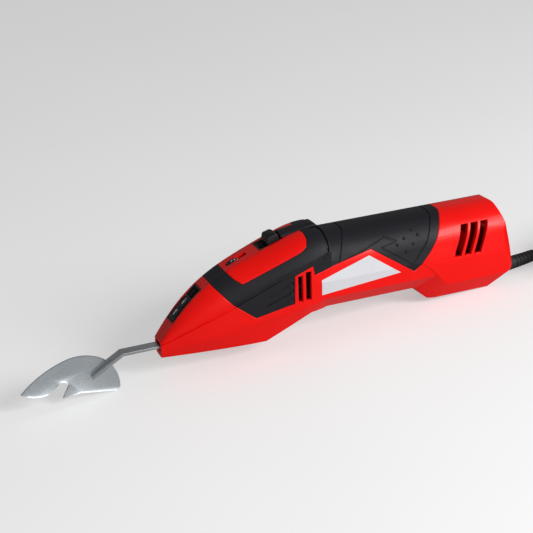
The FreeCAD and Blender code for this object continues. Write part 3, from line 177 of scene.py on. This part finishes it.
def laminated(name, dark, light):
    """Stack of thin sheets across the motor axis."""
    s = Surface(name, Metallic=0.85)
    wave = s.add("ShaderNodeTexWave", Scale=320.0, bands_direction="X")
    s.link(s.coords, wave.inputs["Vector"])
    s.colour(wave.outputs["Fac"], dark, light, (0.2, 0.8))
    s.rough(s.noise(200), 0.4, 0.6)
    s.bump(wave.outputs["Fac"], 0.05, 0.5)
    return s.material


def wound(name, dark, light):
    """Enamelled copper wire laid side by side."""
    s = Surface(name, Metallic=0.9)
    wave = s.add("ShaderNodeTexWave", Scale=420.0, Distortion=1.5, bands_direction="DIAGONAL")
    s.link(s.coords, wave.inputs["Vector"])
    s.colour(wave.outputs["Fac"], dark, light, (0.1, 0.7))
    s.rough(s.noise(300), 0.28, 0.42)
    s.bump(wave.outputs["Fac"], 0.12, 0.7)
    return s.material


MATERIALS = {
    "red_plastic": moulded("red_plastic", (0.80, 0.0035, 0.0015), (0.86, 0.0045, 0.0025), 0.34, 0.35, 0.012,
                           Specular_IOR_Level=0.22),
    "grip_rubber": moulded("grip_rubber", (0.0085, 0.008, 0.0115), (0.012, 0.0115, 0.0155), 0.56, 0.4, 0.03,
                           Specular_IOR_Level=0.25),
    "label_film": moulded("label_film", (0.62, 0.63, 0.66), (0.66, 0.67, 0.70), 0.38, 0.6, 0.004),
    "black_plastic": moulded("black_plastic", (0.006, 0.006, 0.007), (0.009, 0.009, 0.0105), 0.4, 0.3, 0.015,
                             Specular_IOR_Level=0.3),
    "dark_plastic": moulded("dark_plastic", (0.018, 0.017, 0.02), (0.026, 0.025, 0.029), 0.46, 0.3, 0.015,
                            Specular_IOR_Level=0.3),
    "cord_rubber": moulded("cord_rubber", (0.012, 0.012, 0.014), (0.02, 0.02, 0.022), 0.55, 0.5, 0.02),
    "tie_plastic": moulded("tie_plastic", (0.014, 0.014, 0.014), (0.02, 0.02, 0.02), 0.5, 0.5, 0.015),
    "board_green": moulded("board_green", (0.015, 0.11, 0.04), (0.02, 0.15, 0.055), 0.35, 0.5, 0.01),
    "carbon": moulded("carbon", (0.02, 0.02, 0.02), (0.035, 0.035, 0.035), 0.6, 0.2, 0.02),
    "blade_steel": metal("blade_steel", (0.66, 0.72, 0.76), (0.74, 0.79, 0.82), 0.30, (1, 1, 12), 260),
    "strip_steel": metal("strip_steel", (0.42, 0.44, 0.46), (0.52, 0.54, 0.56), 0.34, (1, 14, 6), 220),
    "screw_steel": metal("screw_steel", (0.40, 0.40, 0.41), (0.48, 0.48, 0.49), 0.32),
    "shaft_steel": metal("shaft_steel", (0.50, 0.51, 0.53), (0.58, 0.59, 0.61), 0.22, (10, 1, 1), 300),
    "spring_steel": metal("spring_steel", (0.42, 0.42, 0.44), (0.5, 0.5, 0.52), 0.3),
    "bearing_steel": metal("bearing_steel", (0.6, 0.61, 0.63), (0.68, 0.69, 0.71), 0.18, (10, 1, 1), 300),
    "arm_alloy": metal("arm_alloy", (0.52, 0.53, 0.55), (0.62, 0.63, 0.65), 0.45, (1, 1, 1), 500, 0.02),
    "bronze": metal("bronze", (0.60, 0.42, 0.17), (0.70, 0.50, 0.21), 0.3),
    "pin_steel": metal("pin_steel", (0.66, 0.65, 0.61), (0.74, 0.73, 0.69), 0.2, (1, 8, 8), 300),
    "core_steel": laminated("core_steel", (0.16, 0.165, 0.175), (0.30, 0.31, 0.33)),
    "copper": wound("copper", (0.30, 0.10, 0.035), (0.72, 0.34, 0.15)),
}
SLOT_OF = {part["node"]: part["material_slot"] for part in frame["record"]["subparts"]}
for name, obj in NODES.items():
    obj.data.materials.clear()
    obj.data.materials.append(MATERIALS[SLOT_OF[name]])

# Pieces that take over from a CAD node: the same shape with rounded edges

BODY_OF = {name: body for body, members in frame["record"]["behaviour"]["bodies"].items() for name in members}
SHARP = math.radians(24)
LIFT = 0.0002  # how far off an edge its view of the outside is tested


def cad_copy(node):
    """A CAD node's mesh with its doubled points joined and no edges inside its flat faces."""
    bm = bmesh.new()
    bm.from_mesh(NODES[node].data)
    bmesh.ops.remove_doubles(bm, verts=bm.verts, dist=2e-6)
    bmesh.ops.dissolve_limit(bm, angle_limit=math.radians(0.6), verts=bm.verts, edges=bm.edges)
    return bm


def new_piece(name, mesh, slot, body, smooth=SHARP):
    mesh.shade_smooth()
    mesh.set_sharp_from_angle(angle=smooth)
    mesh.materials.clear()
    mesh.materials.append(MATERIALS[slot])
    piece = bpy.data.objects.new(name, mesh)
    bpy.context.scene.collection.objects.link(piece)
    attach(piece, body)
    return piece


def rounded(node, width_mm, shortest_mm=0.8):
    """Copies a CAD node and rounds the sharp outer edges that can be seen from outside."""
    bm = cad_copy(node)
    bmesh.ops.triangulate(bm, faces=[face for face in bm.faces if len(face.verts) > 4])
    bm.normal_update()
    skin = BVHTree.FromBMesh(bm)
    weight = bm.edges.layers.float.new("bevel_weight_edge")
    for edge in bm.edges:
        if len(edge.link_faces) != 2 or not edge.is_convex or edge.calc_length() < shortest_mm * 0.001:
            continue
        if edge.calc_face_angle() < SHARP:
            continue
        sides = [face.normal for face in edge.link_faces]
        out = (sides[0] + sides[1]).normalized()
        middle = (edge.verts[0].co + edge.verts[1].co) / 2 + out * LIFT
        if all(skin.ray_cast(middle, way)[0] for way in sides) or skin.ray_cast(middle, out)[0]:
            continue
        edge[weight] = 1.0
    mesh = bpy.data.meshes.new(node + "_look")
    bm.to_mesh(mesh)
    bm.free()
    piece = new_piece(node + "_look", mesh, SLOT_OF[node], BODY_OF[node])
    bevel = piece.modifiers.new("Rounded", "BEVEL")
    bevel.limit_method = "WEIGHT"
    bevel.width, bevel.segments = width_mm * 0.001, 3
    bevel.use_clamp_overlap = False
    bevel.harden_normals = False
    normals = piece.modifiers.new("Normals", "WEIGHTED_NORMAL")
    normals.keep_sharp = True
    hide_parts(node)
    return piece


for name, width in (("housing_left", 0.5), ("housing_right", 0.5), ("grip_left", 0.35), ("grip_right", 0.35),
                    ("power_slider", 0.5), ("switch_rail", 0.6), ("lock_slider", 0.25), ("lock_track", 0.2),
                    ("switch_track", 0.2), ("blade_tang", 0.2), ("plug_body", 0.6), ("cord_tie", 0.3)):
    rounded(name, width)

# Small details: each is a mesh laid on the surface that carries it

OUTSIDE = 60  # mm off the tool's middle, past either flank


def surface_point(piece, x, z, side=-1):
    """Where a line across the tool meets a piece's outer flank, and the normal there."""
    inverse = piece.matrix_world.inverted()
    start = inverse @ at(x, side * OUTSIDE, z)
    way = (inverse.to_3x3() @ Vector((0, -side, 0))).normalized()
    hit, place, normal, _ = piece.ray_cast(start, way)
    if not hit:
        raise ValueError(f"no surface at {x}, {z}")
    return piece.matrix_world @ place, normal


def lathe(bm, profile, place, axis, around=24):
    """Adds a turned form with (radius, height) in mm along an axis, closed at its foot."""
    turn_to = axis.to_track_quat("Z", "Y").to_matrix().to_4x4()
    spot = Matrix.Translation(place) @ turn_to
    rings = []
    for radius, height in profile:
        if radius < 1e-6:
            rings.append([bm.verts.new(spot @ mm(0, 0, height))])
            continue
        rings.append([bm.verts.new(spot @ mm(radius * math.cos(2 * math.pi * k / around),
                                             radius * math.sin(2 * math.pi * k / around), height))
                      for k in range(around)])
    for low, high in zip(rings, rings[1:]):
        for k in range(around):
            n = (k + 1) % around
            top = (high[0],) if len(high) == 1 else (high[n], high[k])
            bm.faces.new((low[k], low[n], *top))
    bm.faces.new(list(reversed(rings[0])))


def finish_piece(bm, name, slot, body, smooth=SHARP):
    mesh = bpy.data.meshes.new(name)
    bmesh.ops.recalc_face_normals(bm, faces=bm.faces)
    bm.to_mesh(mesh)
    bm.free()
    return new_piece(name, mesh, slot, body, smooth)


def on_slope(slope, u, y, n):
    """Point of a slanted frame (x, z, degrees): u up the slope, n off it, in the row frame."""
    x, z, degrees = slope
    a = math.radians(degrees)
    return at(x + u * math.cos(a) - n * math.sin(a), y, z + u * math.sin(a) + n * math.cos(a))


def prism(bm, low, high):
    """Adds a closed prism between two rings of points."""
    a, b = [bm.verts.new(v) for v in low], [bm.verts.new(v) for v in high]
    for k in range(len(a)):
        n = (k + 1) % len(a)
        bm.faces.new((a[k], a[n], b[n], b[k]))
    bm.faces.new(list(reversed(a)))
    bm.faces.new(b)


LOCK_SLOPE, KNOB_SLOPE = (10.5, 25.0, 42.6), (80.3, 68.0, 14.0)


def slope_prisms(name, slope, outlines, n0, n1, slot, body):
    """One piece of thin plates with (u, y) outlines that stand from n0 to n1 on a slanted frame."""
    bm = bmesh.new()
    for outline in outlines:
        prism(bm, [on_slope(slope, u, y, n0) for u, y in outline], [on_slope(slope, u, y, n1) for u, y in outline])
    return finish_piece(bm, name, slot, body)


def bar(u0, u1, y0, y1, corner=0.3):
    """Outline of a bar with its corners taken off."""
    c = corner
    return [(u0 + c, y0), (u1 - c, y0), (u1, y0 + c), (u1, y1 - c), (u1 - c, y1), (u0 + c, y1), (u0, y1 - c),
            (u0, y0 + c)]


# Lock slider: a raised rim on each of its two pads, with a plain white arrow on one and bars on the other
PADS = [(3.0, 11.6), (13.0, 21.6)]
PAD_TOP, RIM_TOP, MARK_TOP = 1.0, 1.45, 1.2
rims = []
for u0, u1 in PADS:
    rims += [bar(u0 + 0.3, u0 + 1.0, -4.3, 4.3), bar(u1 - 1.0, u1 - 0.3, -4.3, 4.3),
             bar(u0 + 0.9, u1 - 0.9, -4.4, -3.7), bar(u0 + 0.9, u1 - 0.9, 3.7, 4.4)]
slope_prisms("lock_pad_rims", LOCK_SLOPE, rims, PAD_TOP, RIM_TOP, "black_plastic", "lock")
arrow = [(5.0, -0.55), (8.2, -0.55), (8.2, -1.5), (10.2, 0), (8.2, 1.5), (8.2, 0.55), (5.0, 0.55)]
slope_prisms("lock_marks", LOCK_SLOPE, [arrow, bar(15.0, 18.4, -0.8, 0.8), bar(19.1, 20.1, -0.8, 0.8)],
             PAD_TOP, MARK_TOP, "label_film", "lock")

# Knob of the power slider: ridges for the finger on its front and back slopes
# (each slope's foot and top, the places of its ridges between them, and half their lengths)
KNOB_SIDES = [((7.4, 2.0), (10.4, 7.9), (0.22, 0.42, 0.62, 0.82), (5.2, 5.0, 4.6, 3.6)),
              ((17.2, 4.8), (12.0, 8.0), (0.30, 0.52, 0.74), (5.4, 4.6, 3.4))]
RIDGE = [(-0.45, -0.4), (-0.3, 0.3), (0, 0.42), (0.3, 0.3), (0.45, -0.4)]
bm = bmesh.new()
for (u0, n0), (u1, n1), shares, reach in KNOB_SIDES:
    run, rise = u1 - u0, n1 - n0
    length = math.hypot(run, rise)
    along_u, along_n = run / length, rise / length
    off_u, off_n = (-along_n, along_u) if run > 0 else (along_n, -along_u)
    for share, half in zip(shares, reach):
        u, n = u0 + run * share, n0 + rise * share
        ring = [(u + a * along_u + b * off_u, n + a * along_n + b * off_n) for a, b in RIDGE]
        prism(bm, [on_slope(KNOB_SLOPE, a, -half, b) for a, b in ring],
              [on_slope(KNOB_SLOPE, a, half, b) for a, b in ring])
finish_piece(bm, "knob_ridges", "dark_plastic", "power")

# Speed wheel: fine teeth round its rim, and a row of pale dots that shrink, which are painted highlights for the
# glints of light on the wheel's rim
WHEEL = SimpleNamespace(x=64.0, z=53.2, radius=9.0, half=2.2, teeth=44)
TOOTH = ((0, 0.0), (0.3, 0.0), (0.5, 0.34), (0.8, 0.34))  # share of the pitch, depth
RIM = ((-WHEEL.half, 0.7), (-1.7, 0.05), (-0.7, 0.0), (1.7, 0.0), (WHEEL.half, 0.6))  # y, drop
TEETH_FROM = -1.0  # y that the teeth begin at; the dots are on the smooth band in front
DOTS, DOT_Y, FIRST_DOT, DOT_STEP = 19, -1.2, 112, 15


def round_wheel(radius, degrees, y):
    a = math.radians(degrees)
    return at(WHEEL.x + radius * math.cos(a), y, WHEEL.z + radius * math.sin(a))


bm = bmesh.new()
rings = []
for y, drop in RIM:
    ring = []
    for k in range(WHEEL.teeth):
        for part, low in TOOTH:
            cut = low if y > TEETH_FROM else 0.0
            ring.append(bm.verts.new(round_wheel(WHEEL.radius - drop - cut, (k + part) * 360 / WHEEL.teeth, y)))
    rings.append(ring)
for a, b in zip(rings, rings[1:]):
    for k in range(len(a)):
        n = (k + 1) % len(a)
        bm.faces.new((a[k], b[k], b[n], a[n]))
bm.faces.new(rings[0])
bm.faces.new(list(reversed(rings[-1])))
wheel = finish_piece(bm, "speed_wheel", "black_plastic", "dial")
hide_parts("speed_dial")
# Pale dots on the rim: painted highlights standing in for glints of light on the wheel
bm = bmesh.new()
for k in range(DOTS):
    place = round_wheel(WHEEL.radius - 0.02, FIRST_DOT - DOT_STEP * k, DOT_Y)
    out = (place - at(WHEEL.x, DOT_Y, WHEEL.z)).normalized()
    size = 0.62 - 0.015 * k
    lathe(bm, [(size, -0.1), (size, 0.06), (0.6 * size, 0.12), (0, 0.14)], place, out, 12)
finish_piece(bm, "speed_wheel_painted_glints", "label_film", "dial")

# Grip: the small domes in its rear field
GRIP_DOTS = [(181.8, 57.7), (188.0, 61.2), (188.6, 51.8), (194.5, 56.5), (199.4, 62.0), (195.6, 65.5)]
DOME = [(1.25, -0.3), (1.25, 0.15), (1.05, 0.5), (0.6, 0.75), (0, 0.85)]
FLANKS = ((-1, "left"), (1, "right"))
for side, flank in FLANKS:
    bm = bmesh.new()
    for x, z in GRIP_DOTS:
        place, normal = surface_point(bpy.data.objects[f"grip_{flank}_look"], x, z, side)
        lathe(bm, DOME, place, normal)
    finish_piece(bm, f"grip_dots_{flank}", "grip_rubber", "housing", math.radians(60))

# Nose: a shallow wedge on each flank that dies out towards the tip
WEDGE_HIGH = [(9, 9.0), (52.5, 28.9)]  # x, z
WEDGE_LOW = [(10, 6.5, 0.0), (21.7, 9.4, 0.3), (42.0, 15.9, 0.6), (62.7, 20.9, 0.9)]  # x, z, stands off
ALONG, ACROSS = 24, 6


def between(points, share):
    """A point at that share of a polyline, each part counted as even."""
    place = min(share, 0.9999) * (len(points) - 1)
    k = int(place)
    return [a + (b - a) * (place - k) for a, b in zip(points[k], points[k + 1])]


for side, flank in FLANKS:
    bm = bmesh.new()
    carrier = bpy.data.objects[f"housing_{flank}_look"]
    rows = []
    for i in range(ALONG + 1):
        x1, z1 = between(WEDGE_HIGH, i / ALONG)
        x0, z0, stands = between(WEDGE_LOW, i / ALONG)
        row = []
        for j in range(ACROSS + 1):
            share = j / ACROSS
            place, normal = surface_point(carrier, x0 + (x1 - x0) * share, z0 + (z1 - z0) * share, side)
            row.append(bm.verts.new(place + normal * 0.001 * (stands * (1 - share) - 0.04)))
        place, normal = surface_point(carrier, x0, z0, side)
        rows.append([bm.verts.new(place - normal * 0.0003 - (REST.to_3x3() @ Vector((0, 0, 1))) * 0.3)] + row)
    rows.append([bm.verts.new(vert.co + REST.to_3x3() @ Vector((0.35, -0.8 * side, -0.2))) for vert in rows[-1]])
    for a, b in zip(rows, rows[1:]):
        for k in range(len(a) - 1):
            bm.faces.new((a[k], b[k], b[k + 1], a[k + 1]))
    finish_piece(bm, f"nose_wedge_{flank}", "red_plastic", "housing")

# Blade: the plate with a ground edge all round
GROUND, EDGE = 0.0013, 0.45  # width of the ground rim, and the edge's share of the plate's thickness
bm = cad_copy("blade_plate")
bm.normal_update()
broad = [face for face in bm.faces if abs(face.normal.y) > 0.9]
rim = {vert for face in broad for vert in face.verts}
bmesh.ops.inset_region(bm, faces=broad, thickness=GROUND, depth=0, use_even_offset=True)
for vert in rim:
    vert.co.y *= EDGE
blade = finish_piece(bm, "blade_look", "blade_steel", "blade", math.radians(15))
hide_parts("blade_plate")

# Mains cord: one spline from inside the guard, along the floor, round the coil, to the plug

CORD = 0.007
RADIUS = CORD / 2
EXIT = at(269.5, 0, 12.9)
FALL = math.radians(2.0)
along = Vector((math.cos(FALL), 0, -math.sin(FALL)))
TURN = LAYER = 0.0076
LAYER_HALVES, PER_HALF = 5, 8
COIL_OUT = 10 * CORD / 2 + 1.5 * TURN
COIL_FLOOR = RADIUS + 0.0013
PLUG_HEIGHT = COIL_FLOOR + 2 * LAYER + RADIUS + 0.0070
down = EXIT + along * 0.046
aside = Vector((down.x + 0.040, 0.0285 - RADIUS, COIL_FLOOR))
centre = Vector((aside.x + 0.030, aside.y - COIL_OUT, COIL_FLOOR))

route = [EXIT - along * 0.020, down, aside]
steps = ([-0.5] * (LAYER_HALVES + 1) + [1] + [0.5] * (LAYER_HALVES - 1) + [-1]
         + [-0.5] * (LAYER_HALVES - 2))
levels = [0] * LAYER_HALVES + [LAYER] * LAYER_HALVES + [2 * LAYER] * (LAYER_HALVES - 1)
levels.append(PLUG_HEIGHT - COIL_FLOOR)
reach, height, angle = COIL_OUT, 0.0, 90.0
for step, level in zip(steps, levels):
    for k in range(PER_HALF):
        share = k / PER_HALF
        r = reach + step * TURN * share
        a = math.radians(angle - 180 * share)
        route.append(centre + Vector((r * math.cos(a), r * math.sin(a), height + (level - height) * share)))
    reach, height, angle = reach + step * TURN, level, angle - 180
coil_end = centre + Vector((0, -reach, height))
plug_rear = coil_end - Vector((0.020, 0, 0))
route += [coil_end, plug_rear]

line = bpy.data.curves.new("mains_cord", "CURVE")
line.dimensions = "3D"
spline = line.splines.new("NURBS")
spline.points.add(len(route) - 1)
for point, place in zip(spline.points, route):
    point.co = (*place, 1)
spline.order_u = 3
spline.use_endpoint_u = True
spline.resolution_u = 8
cord = bpy.data.objects.new("mains_cord", line)
bpy.context.scene.collection.objects.link(cord)
cord.data.materials.append(MATERIALS["cord_rubber"])

# Bend relief: a tapered rubber sleeve round the cord's first stretch
bpy.context.view_layer.update()
centre_line = bpy.data.meshes.new_from_object(cord)
points = [cord.matrix_world @ vert.co for vert in centre_line.vertices]
line.bevel_depth, line.bevel_resolution, line.use_fill_caps = RADIUS, 5, True
SLEEVE = [(-12.5, 3.7), (-12.5, 5.4), (-0.5, 5.4), (0, 5.8), (14, 5.55)]  # distance, radius
GROOVES, FIRST_GROOVE, PITCH, TAPER = 6, 24, 3.4, 0.028
SLEEVE_SIDES = 32
for k in range(GROOVES):
    u = FIRST_GROOVE + PITCH * k
    r = 5.35 - TAPER * (u - 20)
    SLEEVE += [(u, r), (u + 0.2, r - 0.55), (u + 1.1, r - 0.6), (u + 1.3, r - 0.05)]
SLEEVE += [(44.2, 4.6), (45, 4.2), (45, 3.6)]


def along_line(points, distance):
    """Place and direction on a polyline at a distance from the exit, in metres."""
    start = (points[0] - EXIT).length
    want, gone = start + distance, 0.0
    for a, b in zip(points, points[1:]):
        step = (b - a).length
        if gone + step >= want:
            return a.lerp(b, (want - gone) / step), (b - a).normalized()
        gone += step
    raise ValueError("beyond the line")


bm = bmesh.new()
rings = []
for u, r in SLEEVE:
    place, way = along_line(points, u * 0.001)
    out = Vector((0, 0, 1)).cross(way).normalized()
    rings.append([bm.verts.new(place + (out * math.cos(a) + way.cross(out) * math.sin(a)) * r * 0.001)
                  for a in (2 * math.pi * k / SLEEVE_SIDES for k in range(SLEEVE_SIDES))])
for a, b in zip(rings, rings[1:]):
    for k in range(SLEEVE_SIDES):
        n = (k + 1) % SLEEVE_SIDES
        bm.faces.new((a[k], a[n], b[n], b[k]))
guard = finish_piece(bm, "bend_relief", "cord_rubber", "housing", math.radians(40))
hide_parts("cord_guard")
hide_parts("cord_lead", "cord_coil", "cord_end")
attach(cord, "housing")

# Floor, world and lamps

floor_mesh = bpy.data.meshes.new("floor")
floor_mesh.from_pydata([(-6, -6, 0), (6, -6, 0), (6, 8, 0), (-6, 8, 0)], [], [(0, 1, 2, 3)])
floor = bpy.data.objects.new("floor", floor_mesh)
bpy.context.scene.collection.objects.link(floor)
floor.location.z = -0.0002
pale = Surface("floor_paper", Roughness=0.9, Specular_IOR_Level=0.1)
pale.colour(pale.noise(3), (0.64, 0.64, 0.64), (0.67, 0.67, 0.67))
seen, glow = pale.add("ShaderNodeLightPath"), pale.add("ShaderNodeEmission", Strength=0.42)
both, pick = pale.add("ShaderNodeAddShader"), pale.add("ShaderNodeMixShader")
pale.link(pale.shader.outputs[0], both.inputs[0])
pale.link(glow.outputs[0], both.inputs[1])
pale.link(seen.outputs["Is Camera Ray"], pick.inputs["Fac"])
pale.link(pale.shader.outputs[0], pick.inputs[1])
pale.link(both.outputs[0], pick.inputs[2])
pale.link(pick.outputs[0], pale.tree.nodes["Material Output"].inputs["Surface"])
floor.data.materials.append(pale.material)

world = bpy.data.worlds.new("Studio")
bpy.context.scene.world = world
world.use_nodes = True
tree = world.node_tree
soft, white = tree.nodes["Background"], tree.nodes.new("ShaderNodeBackground")
for shade, strength in ((soft, 0.24), (white, 1.0)):
    shade.inputs["Color"].default_value = (1, 1, 1, 1)
    shade.inputs["Strength"].default_value = strength
rays = tree.nodes.new("ShaderNodeLightPath")
mix = tree.nodes.new("ShaderNodeMixShader")
tree.links.new(rays.outputs["Is Camera Ray"], mix.inputs["Fac"])
tree.links.new(soft.outputs[0], mix.inputs[1])
tree.links.new(white.outputs[0], mix.inputs[2])
tree.links.new(mix.outputs[0], tree.nodes["World Output"].inputs["Surface"])


TARGET = (0.05, 0, 0.04)


def lamp(name, place, size, watts):
    data = bpy.data.lights.new(name, "AREA")
    data.size, data.energy = size, watts
    obj = bpy.data.objects.new(name, data)
    bpy.context.scene.collection.objects.link(obj)
    obj.location = place
    obj.rotation_euler = (Vector(TARGET) - Vector(place)).to_track_quat("-Z", "Y").to_euler()


lamp("key", (0.80, -1.25, 0.70), 0.6, 21)
lamp("front", (0.1, -1.5, 0.30), 0.9, 4)

bpy.context.scene.view_settings.view_transform = "Standard"
